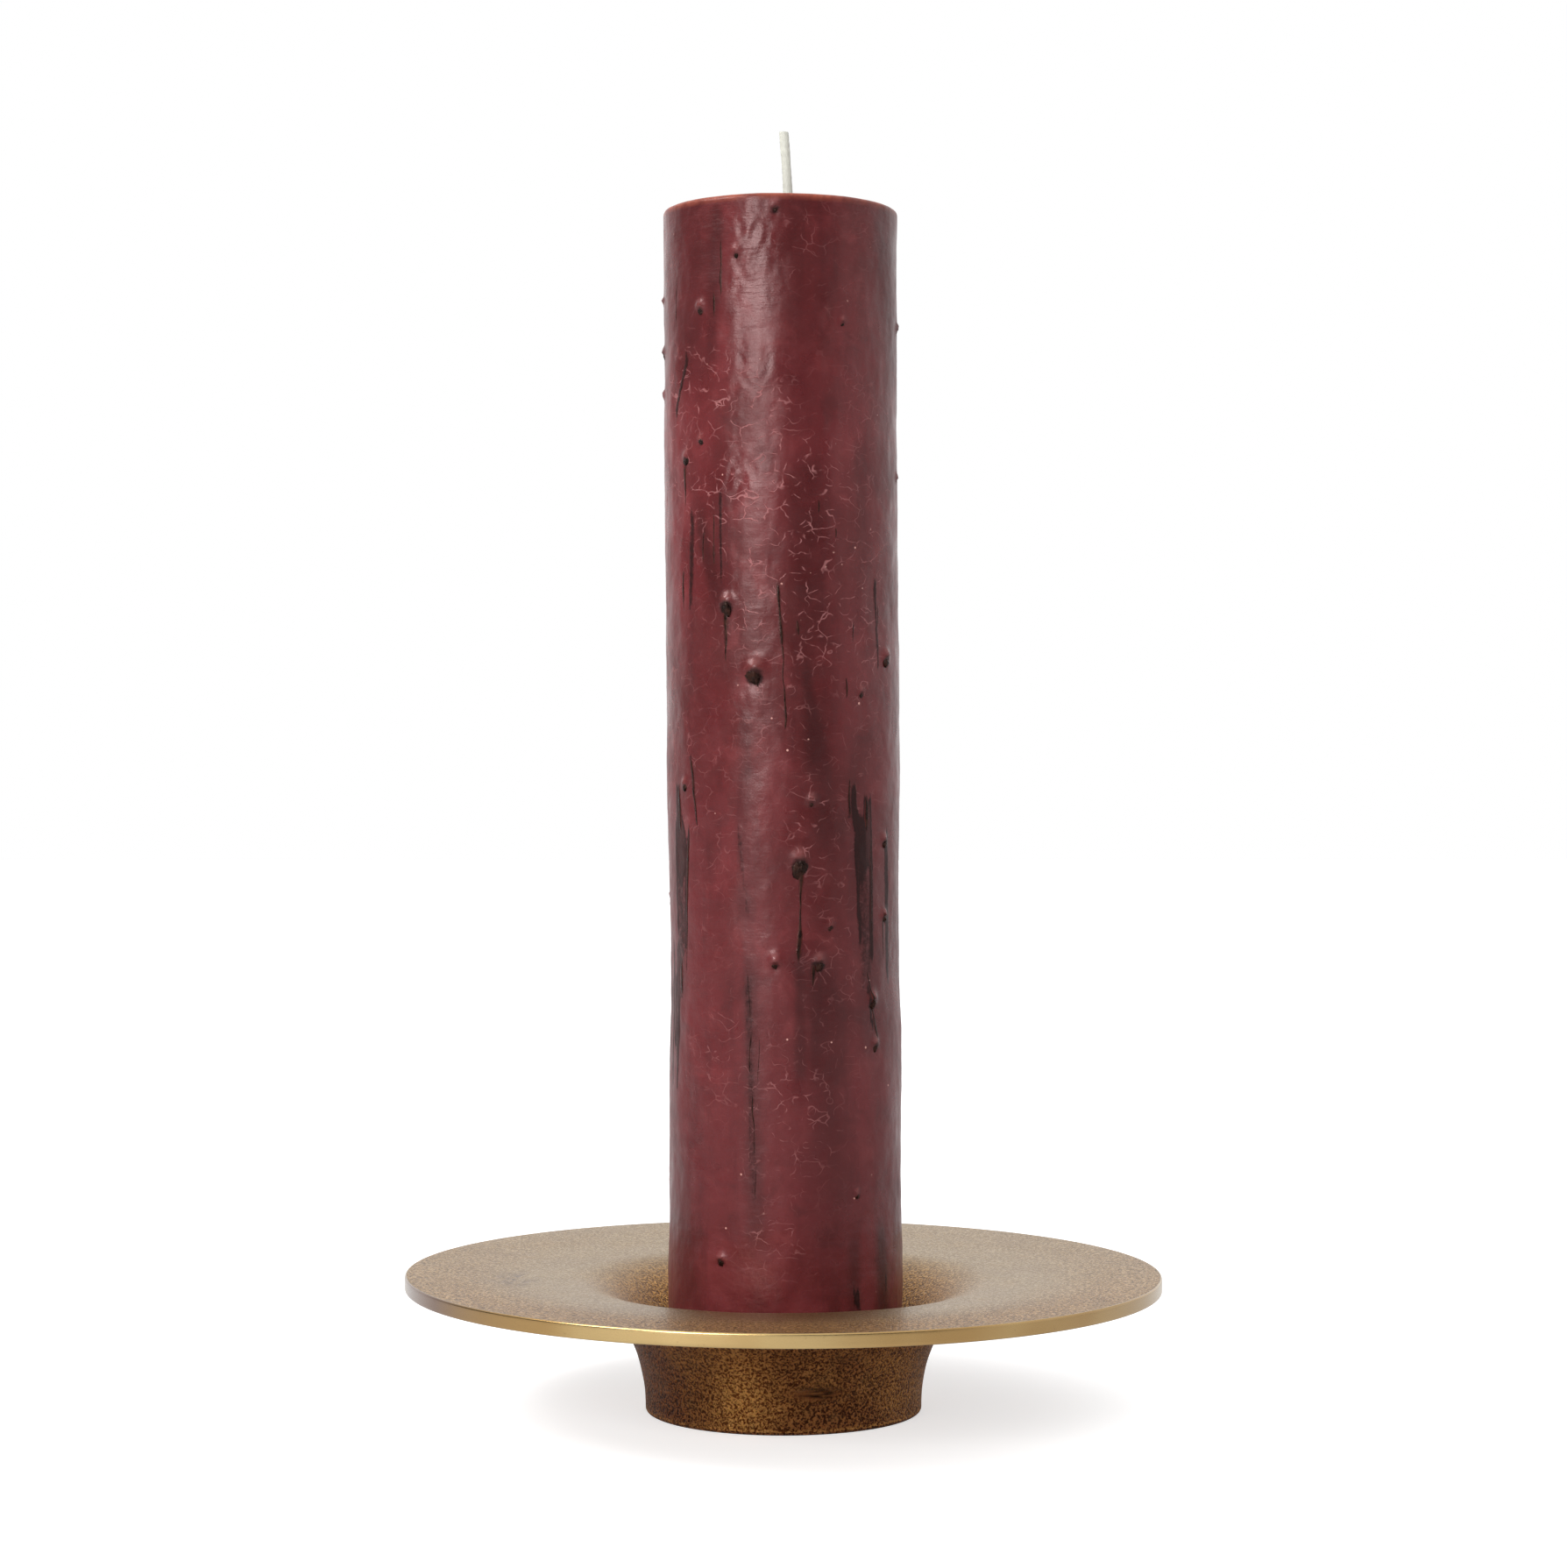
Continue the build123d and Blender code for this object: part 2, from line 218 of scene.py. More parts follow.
# Patches where the wax is crazed with fine pale cracks: (turn, height, half width, half height,
# strength), lengths in millimetres
CRAZED = [
    (-45, 248, 15, 22, 1), (-14, 243, 14, 18, 1), (8, 224, 14, 16, 0.7), (24, 214, 12, 22, 0.5),
    (34, 246, 12, 18, 0.4), (-22, 212, 13, 14, 0.9), (48, 200, 10, 30, 0.6),
    (0, 196, 14, 12, 0.55), (-2, 176, 10, 8, 0.5), (13, 150, 5, 12, 0.7), (2, 76, 12, 18, 0.6),
    (-30, 92, 12, 14, 0.4), (-40, 150, 12, 30, 0.25), (30, 130, 14, 40, 0.3), (-5, 45, 9, 8, 0.9),
    (20, 292, 18, 14, 0.25), (100, 240, 20, 34, 0.8), (150, 222, 18, 26, 0.9),
    (185, 246, 16, 26, 0.9), (205, 208, 14, 18, 0.8), (250, 226, 18, 34, 0.9),
    (280, 180, 16, 22, 0.5), (170, 66, 16, 18, 0.7), (110, 76, 14, 16, 0.5),
]

# Groups of drips on the back: (turn, height of the top, height of the bottom, width of the group)
DRIPS = [(112, 234, 180, 9), (152, 186, 118, 10), (203, 142, 84, 9), (244, 236, 188, 8),
         (263, 112, 60, 8), (287, 122, 84, 9)]
DRIPS_IN_GROUP = 6

# --- Wick and felt ---
WICK_COLUMNS, WICK_ROWS = 48, 190
WICK_HALF_X, WICK_HALF_Y = 1.18 * MM, 0.85 * MM
WICK_PLAIT = 4.2 * MM  # length of one plait
WICK_SUNK = 6 * MM  # how far its lower end is down in the wax
PAD_COLUMNS = 180
PAD_CORNER = 0.5 * MM
PAD_FACE_RINGS = (0.1, 0.3, 0.5, 0.7, 0.85, 0.95)  # shares of the radius

# --- Studio ---
FLOOR_GLOW = 0.62
FLOOR_HALF = 6.0
CAMERA_LENS = 74.88  # millimetres, with a sensor of the width below
CAMERA_SENSOR = 36.0
CAMERA_DISTANCE = 0.836
CAMERA_HEIGHT = 0.1602
LIGHT_TARGET = Vector((0, 0, 0.16))
# Softboxes: (name, turn, distance, heights of its lower and upper edge, width, radiance)
SOFTBOXES = [
    ("key", -27, 1.4, (0.36, 0.80), 0.36, 14.0),
    ("key_halo", -24, 1.45, (0.34, 0.80), 0.74, 8.0),
    ("fill", -66, 1.1, (0.9, 1.4), 0.6, 12.0),
    ("low", -28, 1.3, (0.02, 0.34), 0.5, 1.2),
]
# Light from the room by direction: (axis, from, to, strength where the direction is past "to")
ROOM_DARK = 0.08
ROOM_LIGHT = [
    ("Y", 0.25, 0.75, 1.1), ("X", 0.66, 0.86, 1.15), ("X", -0.45, -0.95, 0.16),
    ("Z", 0.34, 0.60, 1.20),
]


# --- Small tools ---


def smooth(x):
    """Smooth step of x clipped to 0..1."""
    x = np.clip(x, 0.0, 1.0)
    return x * x * (3 - 2 * x)


def bell(x):
    """1 at 0, falling away on both sides, to a third at 1 and nearly nothing at 2."""
    return np.exp(-(x**2))


def turn_gap(turn, centre):
    """The angle from centre to turn the short way round, in radians."""
    return (turn - centre + pi) % (2 * pi) - pi


def turned(turn, r, z, shift=0.0):
    """Points at each turn, radius and height, round an axis shifted along X."""
    return np.stack([shift + r * np.sin(turn), -r * np.cos(turn), z], -1)


def ridges(turn, along, waves, seed):
    """Sum of gentle waves, periodic in turn: waves is a list of (count round, per metre, size)."""
    draw = np.random.RandomState(seed)
    total = np.zeros(np.broadcast(turn, along).shape)
    for count, rate, size in waves:
        start = draw.uniform(0, 2 * pi, 2)
        total += size * np.cos(count * turn + start[0]) * np.cos(rate * along + start[1])
    return total


def patches_round(turn, patches):
    """Sum of soft patches round the dish, each (turn, half width in degrees, strength)."""
    total = np.zeros(turn.shape)
    for centre, wide, strength in patches:
        total += strength * bell(np.degrees(turn_gap(turn, radians(centre))) / wide)
    return total


def ovals(turn, z, patches, unit, power=1.0):
    """Sum of soft ovals on the candle, each (turn, height, half width in the given unit of
    angle, half height in millimetres, strength); a power above 1 gives them a flatter middle."""
    total = np.zeros(np.broadcast(turn, z).shape)
    for centre, height, wide, tall, strength in patches:
        across = turn_gap(turn, radians(centre)) / (wide * unit)
        up = (z / MM - height) / tall
        total = total + strength * np.exp(-((across**2 + up**2) ** power))
    return total


def from_band(band, turn, z):
    """For a band of STAINS or SHADES: the distance from its middle line and half its width."""
    turn_a, z_a, turn_b, z_b, width_a, width_b, _ = band
    along = np.clip((z - z_a * MM) / ((z_b - z_a) * MM), 0, 1)
    centre = radians(turn_a) + radians(turn_b - turn_a) * along
    across = np.abs(turn_gap(turn, centre)) * CANDLE_R
    return across, (width_a + (width_b - width_a) * along) * MM / 2


def from_beads(turn, z):
    """For each bead: how far each point is across from it and above it, its width, how far the
    wax stands out, and how much of it is bare, lengths in millimetres."""
    for bead_turn, height, width, rise, bare in BEADS:
        across = turn_gap(turn, radians(bead_turn)) * CANDLE_R / MM
        yield across, z / MM - height, width, rise, bare


def cloud(points, scale, seed, octaves=3):
    """Fractal noise about 0 at each point of an (n, 3) array; scale is in cells per metre."""
    shift = Vector((seed * 17.3, seed * 5.1, seed * 11.7))
    values = [noise.fractal(Vector(p) * scale + shift, 0.7, 2.1, octaves) for p in points]
    return np.array(values)


def new_object(name, data):
    obj = bpy.data.objects.new(name, data)
    bpy.context.scene.collection.objects.link(obj)
    return obj


def new_mesh(name, vertices, faces, attributes=None):
    """Smooth-shaded object of the given vertices and faces, with its float attributes."""
    mesh = bpy.data.meshes.new(name)
    mesh.from_pydata([tuple(v) for v in vertices], [], [tuple(f) for f in faces])
    for key, values in (attributes or {}).items():
        layer = mesh.attributes.new(key, "FLOAT", "POINT")
        layer.data.foreach_set("value", np.asarray(values, np.float32).ravel())
    mesh.polygons.foreach_set("use_smooth", [True] * len(mesh.polygons))
    mesh.update()
    return new_object(name, mesh)


def ring_faces(rows, columns, first=0):
    """Quads between successive rings of a closed tube, whose vertices are stored ring by ring."""
    row = np.arange(rows - 1)[:, None] * columns + first
    column = np.arange(columns)[None, :]
    after = (column + 1) % columns
    quads = [row + column, row + after, row + columns + after, row + columns + column]
    return np.stack(quads, -1).reshape(-1, 4).tolist()


def closed_tube(rows, columns):
    """A tube's quads and the fans of its two ends, each round a vertex stored after the rings."""
    faces = ring_faces(rows, columns)
    base, last = rows * columns, (rows - 1) * columns
    for i in range(columns):
        after = (i + 1) % columns
        faces += [(base, after, i), (base + 1, last + i, last + after)]
    return faces


def with_ends(values, base=0.0, top=0.0):
    """The rings' values, followed by those of a closed tube's two end vertices."""
    return np.append(values.ravel(), [base, top])


def arc(centre, radius, from_degrees, to_degrees, count):
    """Points of an arc of a circle, or of an ellipse where radius is a pair."""
    reach = radius if isinstance(radius, tuple) else (radius, radius)
    angles = np.radians(np.linspace(from_degrees, to_degrees, count))
    return [(centre[0] + reach[0] * cos(a), centre[1] + reach[1] * sin(a)) for a in angles]


def resample(points, step):
    """The same outline with its long runs divided, so that no run is longer than step."""
    out = [points[0]]
    for start, end in zip(points, points[1:]):
        pieces = max(1, int(np.ceil(np.hypot(end[0] - start[0], end[1] - start[1]) / step)))
        for i in range(1, pieces + 1):
            t = i / pieces
            out.append((start[0] + (end[0] - start[0]) * t, start[1] + (end[1] - start[1]) * t))
    return out


# --- Materials ---


class Tree:
    """The nodes of a material or world, with short calls for the ones used here."""

    def __init__(self, owner, shader="Principled BSDF"):
        owner.use_nodes = True
        self.nodes = owner.node_tree.nodes
        self.links = owner.node_tree.links
        self.shader = self.nodes[shader]
        self.coordinates = self.add("ShaderNodeTexCoord").outputs
        self.place = self.coordinates["Object"]

    def add(self, kind, **values):
        node = self.nodes.new(kind)
        for key, value in values.items():
            setattr(node, key, value)
        return node

    def put(self, socket, value):
        if isinstance(value, bpy.types.NodeSocket):
            self.links.new(value, socket)
        else:
            socket.default_value = value

    def set(self, **values):
        """Sets the shader's sockets: base_color=..., roughness=..."""
        for key, value in values.items():
            name = key.replace("_", " ").title().replace("Ior", "IOR")
            self.put(self.shader.inputs[name], value)

    def stretched(self, x=1.0, y=1.0, z=1.0):
        node = self.add("ShaderNodeMapping")
        self.put(node.inputs["Vector"], self.place)
        node.inputs["Scale"].default_value = (x, y, z)
        return node.outputs[0]

    def noise_node(self, scale, detail, roughness, vector):
        node = self.add("ShaderNodeTexNoise")
        for key, value in (("Vector", vector or self.place), ("Scale", scale),
                           ("Detail", detail), ("Roughness", roughness)):
            self.put(node.inputs[key], value)
        return node

    def noise(self, scale, detail=3.0, roughness=0.5, vector=None):
        return self.noise_node(scale, detail, roughness, vector).outputs["Fac"]

    def cells(self, scale, feature="F1", vector=None):
        """Distance to the nearest cell's middle, or to its edge."""
        node = self.add("ShaderNodeTexVoronoi", feature=feature)
        self.put(node.inputs["Vector"], vector or self.place)
        node.inputs["Scale"].default_value = scale
        return node.outputs["Distance"]

    def warped(self, scale, amount, vector=None):
        """The position shifted by noise, which bends the cells drawn on it."""
        moved = self.noise_node(scale, 2.0, 0.5, vector).outputs["Color"]
        for operation, other in (("SUBTRACT", (0.5, 0.5, 0.5)), ("MULTIPLY", (amount,) * 3),
                                 ("ADD", vector or self.place)):
            node = self.add("ShaderNodeVectorMath", operation=operation)
            self.put(node.inputs[0], moved)
            self.put(node.inputs[1], other)
            moved = node.outputs[0]
        return moved

    def math(self, operation, a, b=0.0, clamp=False):
        node = self.add("ShaderNodeMath", operation=operation, use_clamp=clamp)
        self.put(node.inputs[0], a)
        self.put(node.inputs[1], b)
        return node.outputs[0]

    def times(self, a, b):
        return self.math("MULTIPLY", a, b)

    def plus(self, a, b):
        return self.math("ADD", a, b)

    def span(self, value, low, high, out_low=0.0, out_high=1.0):
        """value mapped smoothly from low..high to out_low..out_high."""
        node = self.add("ShaderNodeMapRange", interpolation_type="SMOOTHSTEP")
        for key, number in (("Value", value), ("From Min", low), ("From Max", high),
                            ("To Min", out_low), ("To Max", out_high)):
            self.put(node.inputs[key], number)
        return node.outputs[0]

    def mix(self, share, a, b):
        """Between two colours."""
        node = self.add("ShaderNodeMix", data_type="RGBA")
        for place, value in ((0, share), (6, a), (7, b)):
            self.put(node.inputs[place], value)
        return node.outputs[2]

    def blend(self, share, a, b):
        """Between two numbers."""
        node = self.add("ShaderNodeMix", data_type="FLOAT")
        for place, value in ((0, share), (2, a), (3, b)):
            self.put(node.inputs[place], value)
        return node.outputs[0]

    def attributes(self, *names):
        add = self.add
        return [add("ShaderNodeAttribute", attribute_name=name).outputs["Fac"] for name in names]

    def axis(self, letter):
        node = self.add("ShaderNodeSeparateXYZ")
        self.put(node.inputs[0], self.place)
        return node.outputs[letter]

    def bump(self, height, depth):
        """depth is the height's real size in metres."""
        node = self.add("ShaderNodeBump")
        self.put(node.inputs["Height"], height)
        node.inputs["Strength"].default_value = 1.0
        node.inputs["Distance"].default_value = depth
        return node.outputs[0]


def rgb(red, green, blue):
    """A colour given as it looks on a screen, from 0 to 255, made linear for a shader."""
    channels = [value / 255 for value in (red, green, blue)]
    linear = [c / 12.92 if c <= 0.04045 else ((c + 0.055) / 1.055) ** 2.4 for c in channels]
    return (*linear, 1.0)


def new_material(name):
    material = bpy.data.materials.new(name)
    return material, Tree(material)


def brass_material():
    """Antique brass: a skin of fine worm-shaped grain, gold on brown, and a bare polished rim."""
    material, t = new_material("antique_brass")
    band, under, throat, coarse_and_front_shade = t.attributes("band", "under", "throat", "coarse_and_front_shade")
    painted_glint_and_shade, scar, stain = t.attributes("painted_glint_and_shade", "scar", "stain")

    grain = t.noise(1500, 2.5, 0.55, t.warped(1100, 0.0012))
    fine = t.noise(4200, 1, 0.5)
    worms = t.noise(1800, 2, 0.5, t.warped(1250, 0.0012))
    blotch = t.noise(34, 4, 0.6)
    drift = t.noise(150, 3, 0.6)

    bloom = t.span(grain, 0.40, 0.62)
    # Painted reflection: towards the front rim the plate top takes dark brown colours with golden
    # grain, standing in for the dark candle and room it mirrors there; the same mask deepens the
    # grain's bump.
    top_skin = t.mix(coarse_and_front_shade, t.mix(bloom, rgb(136, 111, 76), rgb(160, 135, 94)),
                     t.mix(bloom, rgb(72, 43, 21), rgb(190, 145, 84)))
    top_skin = t.mix(throat, top_skin, t.mix(bloom, rgb(96, 58, 22), rgb(190, 137, 67)))
    top_skin = t.mix(t.span(blotch, 0.42, 0.75, 0, 0.3), top_skin, rgb(116, 86, 54))
    # Painted highlight: the foot turns bright gold in that attribute's patches, the key light's
    # highlight at the front among them, and in random blotches.
    bright = t.math("ADD", painted_glint_and_shade, t.span(blotch, 0.45, 0.7, 0, 0.35), clamp=True)
    # Painted shade: the foot, under the plate, is given darker and browner colours than the plate
    # top, though it is the same cast brass.
    dull_foot = t.mix(t.span(worms, 0.42, 0.60), rgb(60, 31, 20), rgb(164, 105, 64))
    highlit_foot = t.mix(t.span(worms, 0.40, 0.58), rgb(130, 76, 36), rgb(250, 188, 110))
    foot_skin = t.mix(bright, dull_foot, highlit_foot)
    strokes = t.noise(700, 2, 0.5, t.stretched(0.14, 0.14, 1.1))
    scarred = t.mix(t.span(strokes, 0.42, 0.6), rgb(50, 26, 17), rgb(158, 104, 64))
    foot_skin = t.mix(t.times(scar, 0.95), foot_skin, scarred)
    skin = t.mix(under, top_skin, foot_skin)
    skin = t.mix(t.span(drift, 0.5, 0.75, 0, 0.2), skin, rgb(170, 134, 86))
    smear = t.span(t.noise(300, 3, 0.6, t.stretched(1, 0.5, 1)), 0.44, 0.58)
    skin = t.mix(t.times(stain, smear), skin, rgb(76, 46, 24))

    worn = t.span(t.noise(22, 3, 0.5), 0.36, 0.68)
    polished = t.mix(worn, rgb(184, 157, 105), rgb(163, 130, 78))
    # Painted shade: the polished band is darkened in that attribute's patches, most on its left.
    polished = t.mix(t.times(painted_glint_and_shade, 0.8), polished, rgb(104, 68, 38))
    freckles = t.span(t.cells(520), 0.04, 0.14, 0.3, 0)
    polished = t.mix(freckles, polished, rgb(96, 62, 40))
    colour = t.mix(band, skin, polished)

    bare = t.math("SUBTRACT", 1, band)
    rough = t.plus(t.times(t.span(grain, 0.38, 0.66, 0.40, 0.28), bare), t.times(band, 0.27))

    brushed = t.noise(1, 3, 0.6, t.stretched(60, 60, 5200))
    top_depth = t.plus(t.times(t.math("MAXIMUM", coarse_and_front_shade, throat), 1.1), 0.3)
    pitted = t.blend(under, t.times(grain, top_depth), t.times(worms, 1.5))
    skin_height = t.plus(pitted, t.times(fine, 0.1))
    band_height = t.times(brushed, 0.006)
    height = t.plus(t.times(skin_height, bare), t.times(band_height, band))
    hidden = t.math("MAXIMUM", under, t.math("MAXIMUM", throat, t.times(coarse_and_front_shade, 0.8)))
    coat = t.plus(t.span(hidden, 0, 1, 0.17, 0.03), t.times(band, 0.5))
    t.set(base_color=colour, metallic=1, roughness=rough, normal=t.bump(height, 0.0008),
          coat_weight=coat, coat_roughness=0.22)
    return material


def wax_material():
    """Burgundy candle wax: cloudy reds, a film of black in places, pale hairlines and specks."""
    material, t = new_material("burgundy_wax")
    stain, shade, lip, edge, crazed = t.attributes("stain", "shade", "lip", "edge", "crazed")
    height = t.axis("Z")

    cloudy = t.noise(30, 4, 0.6, t.stretched(z=0.45))
    streaky = t.noise(170, 4, 0.6, t.stretched(z=0.11))
    mottle = t.noise(95, 5, 0.62, t.warped(60, 0.02))
    colour = t.mix(t.span(cloudy, 0.36, 0.66), rgb(71, 24, 25), rgb(93, 35, 38))
    # Painted light: the wax is painted lighter low down, where more light reaches it from the left
    # front.
    painted_light_low = t.span(height, 0.07, 0.17, 0.45, 0)
    colour = t.mix(painted_light_low, colour, rgb(101, 40, 44))
    colour = t.mix(t.span(mottle, 0.5, 0.72, 0, 0.4), colour, rgb(114, 50, 52))
    colour = t.mix(t.span(mottle, 0.5, 0.3, 0, 0.45), colour, rgb(60, 21, 23))
    colour = t.mix(t.span(streaky, 0.5, 0.8, 0, 0.4), colour, rgb(46, 19, 22))
    colour = t.mix(t.times(shade, 0.8), colour, rgb(46, 16, 17))

    wide = t.stretched(z=1.35)
    bent = t.warped(260, 0.003, wide)
    edges = t.cells(175, "DISTANCE_TO_EDGE", bent)
    branches = t.times(t.span(edges, 0.004, 0.036, 1, 0), t.span(t.noise(300, 2, 0.5), 0.46, 0.63))
    level = t.math("ABSOLUTE", t.math("SUBTRACT", t.noise(175, 1, 0.4, wide), 0.5))
    curls = t.times(t.span(level, 0, 0.013, 1, 0),
                    t.span(t.noise(230, 2, 0.5, t.stretched(z=1.1)), 0.50, 0.63))
    lines = t.math("MAXIMUM", branches, curls)
    zone = t.times(crazed, t.span(t.noise(60, 2, 0.5), 0.3, 0.5, 0.3, 1))
    cracks = t.times(lines, zone)
    colour = t.mix(t.times(cracks, 0.54), colour, rgb(162, 106, 106))

    dots = t.cells(230)
    specks = t.times(t.span(dots, 0.05, 0.085, 1, 0), t.span(t.noise(150, 1), 0.54, 0.6))
    colour = t.mix(t.times(specks, 0.8), colour, rgb(200, 150, 140))

    threads = t.noise(520, 3, 0.6, t.stretched(z=0.07))
    crumbs = t.noise(900, 3, 0.7)
    rough_edge = t.plus(t.times(t.math("SUBTRACT", streaky, 0.5), 0.5),
                        t.times(t.math("SUBTRACT", crumbs, 0.5), 0.5))
    # The stain attribute also carries painted shadow round the beads and runs, drawn in the same
    # black film.
    ragged = t.plus(stain, rough_edge)
    film = t.times(t.span(ragged, 0.12, 0.5), t.span(stain, 0.02, 0.2))
    inner = t.times(t.span(ragged, 0.5, 0.95), t.span(threads, 0.3, 0.62))
    black = t.mix(inner, rgb(26, 11, 10), rgb(55, 30, 30))
    colour = t.mix(t.times(film, 0.93), colour, black)
    patchy = t.span(t.noise(260, 3, 0.6), 0.35, 0.6, 0.45, 1)
    # Painted light: an orange line round the top's rim, for light glowing through the thin wax
    # there.
    colour = t.mix(t.times(edge, patchy), colour, rgb(148, 75, 54))
    # Painted highlight: a light pink on the crown of the wax over each bead, where the key light
    # glints.
    colour = t.mix(t.times(lip, 0.35), colour, rgb(146, 92, 90))

    rough = t.span(t.noise(70, 3, 0.6), 0.3, 0.7, 0.26, 0.38)
    rough = t.plus(rough, t.times(cracks, 0.15))
    rough = t.math("SUBTRACT", rough, t.times(lip, 0.1))
    rough = t.plus(rough, t.times(film, 0.1))
    wrinkled = t.noise(90, 4, 0.6, t.stretched(z=5))
    relief = t.plus(t.times(t.noise(230, 4, 0.55), 0.8), t.times(cracks, 0.12))
    wrinkling = t.span(height, 0.26, 0.3, 0.35, 0.9)
    relief = t.plus(relief, t.times(wrinkled, wrinkling))
    relief = t.plus(relief, t.times(film, 0.12))
    gloss = t.span(film, 0, 1, 0.5, 0.26)
    t.set(base_color=colour, roughness=rough, subsurface_weight=0.1, subsurface_scale=0.002,
          subsurface_radius=(1, 0.22, 0.14), ior=1.34, specular_ior_level=gloss,
          specular_tint=(1, 0.77, 0.76, 1), sheen_weight=0.04, sheen_roughness=0.45,
          sheen_tint=(1, 0.5, 0.5, 1), normal=t.bump(relief, 0.00022))
    return material


def black_wax_material():
    """Black wax, glossy in the middle of a run and thin enough at its edges to look red."""
    material, t = new_material("black_wax")
    thin = t.attributes("thin")[0]
    tone = t.noise(500, 3, 0.6)
    black = t.mix(t.span(tone, 0.35, 0.7), rgb(18, 9, 7), rgb(44, 23, 17))
    colour = t.mix(t.span(thin, 0.1, 0.9), black, rgb(76, 30, 30))
    t.set(base_color=colour, roughness=t.span(tone, 0.3, 0.7, 0.24, 0.45),
          ior=1.24, specular_tint=(1, 0.7, 0.62, 1),
          normal=t.bump(t.noise(900, 3, 0.6), 0.00018))
    return material


def cotton_material():
    """Off-white cotton yarn, stiffened with wax; the strands' fibres show as fine streaks."""
    material, t = new_material("cotton")
    fibre = t.noise(2600, 3, 0.6, t.stretched(z=0.25))
    colour = t.mix(t.span(fibre, 0.3, 0.7), rgb(176, 176, 166), rgb(190, 190, 179))
    t.set(base_color=colour, roughness=t.span(fibre, 0.3, 0.7, 0.65, 0.5), sheen_weight=0.2,
          normal=t.bump(fibre, 0.00002))
    return material


def felt_material():
    """Dark felt: matted fibres, lighter where they stand up."""
    material, t = new_material("dark_felt")
    mat = t.noise(1300, 5, 0.75, t.warped(600, 0.002))
    colour = t.mix(t.span(mat, 0.35, 0.68), rgb(34, 31, 29), rgb(74, 69, 64))
    t.set(base_color=colour, roughness=t.span(mat, 0.3, 0.7, 0.98, 0.85), sheen_weight=0.5,
          normal=t.bump(mat, 0.0004))
    return material


def floor_material():
    """White paper, lit from below where the camera sees it, as a light table is."""
    material, t = new_material("studio_floor")
    tone = t.mix(t.noise(3, 2, 0.5), (0.62, 0.62, 0.62, 1), (0.66, 0.66, 0.66, 1))
    seen = t.add("ShaderNodeLightPath").outputs["Is Camera Ray"]
    t.set(base_color=tone, roughness=0.9, emission_color=(1, 1, 1, 1),
          emission_strength=t.times(seen, FLOOR_GLOW))
    return material


# --- Dish ---


def flare(centre, reach, height, count):
    """Quarter ellipse from upright at its foot to the plate's slope at its top."""
    stop = 90 + np.degrees(atan(DISH_SLOPE * reach / height))
    return arc(centre, (reach, height), 180, stop, count)


def dish_outline():
    """Turned profile of the casting from the cup's floor over the plate and down to the recess.
    Each stretch is (zone, points, longest step), and a point is (radius, height)."""
    plate_r = CUP_R + THROAT_FLARE
    plate_top = RIM_TOP - DISH_SLOPE * (RIM_R - plate_r)
    under = RIM_TOP - RIM_EDGE
    flare_r = FOOT_R + FOOT_FLARE
    flare_top = under - DISH_SLOPE * (RIM_R - flare_r)
    corner = FOOT_BOTTOM + FOOT_CORNER
    recess_r = PAD_R + PAD_GAP
    throat = flare((plate_r, CUP_WALL_TOP), THROAT_FLARE, plate_top - CUP_WALL_TOP, 64)
    outside = flare((flare_r, corner), FOOT_FLARE, flare_top - corner, 48)
    cup = [(0.0, CUP_FLOOR)]
    cup += arc((CUP_R - FLOOR_FILLET, CUP_FLOOR + FLOOR_FILLET), FLOOR_FILLET, -90, 0, 5)
    edge = arc((RIM_R - RIM_TOP_ROUND, RIM_TOP - RIM_TOP_ROUND), RIM_TOP_ROUND, 87, 0, 6)
    edge += arc((RIM_R - RIM_BOTTOM_ROUND, under + RIM_BOTTOM_ROUND), RIM_BOTTOM_ROUND, 0, -87, 5)
    ring = arc((FOOT_R - FOOT_CORNER, corner), FOOT_CORNER, 0, -90, 6)
    ring += [(recess_r, FOOT_BOTTOM), (recess_r, PAD_TOP), (0.0, PAD_TOP)]
    return [
        ("cup", cup, 2.0 * MM),
        ("throat", throat, 0.9 * MM),
        ("plate", [throat[-1], edge[0]], 1.0 * MM),
        ("band", edge, 0.6 * MM),
        ("under", [edge[-1], outside[-1]], 2.2 * MM),
        ("foot", outside[::-1], 0.6 * MM),
        ("ring", ring, 2.0 * MM),
    ]


def dish_profile():
    """The outline as arrays of radius, height, and the name of each point's zone."""
    radius, height, zone = [], [], []
    for name, points, step in dish_outline():
        for r, z in resample(points, step):
            if not radius or abs(r - radius[-1]) + abs(z - height[-1]) > 1e-7:
                radius.append(r)
                height.append(z)
                zone.append(name)
    return np.array(radius), np.array(height), np.array(zone)


def cast_relief(turn, r, z, outside):
    """How far the casting's surface wanders from the turned shape."""
    plate = ridges(turn, r, PLATE_WAVES, 3)
    return np.where(outside, ridges(turn, z, FOOT_WAVES, 8), plate) * MM


def foot_scar(turn, z):
    """The scar's relief, and how deep in it each point is, 0 to 1."""
    across = turn_gap(turn, SCAR_TURN) * FOOT_R / SCAR_HALF_WIDTH
    distance = np.hypot(across, (z - SCAR_Z) / SCAR_HALF_HEIGHT)
    dent = bell(distance)
    lip = bell((distance - 1.5) / 0.5)
    return SCAR_LIP * lip - SCAR_DEPTH * dent, np.clip(1.8 * dent, 0, 1)


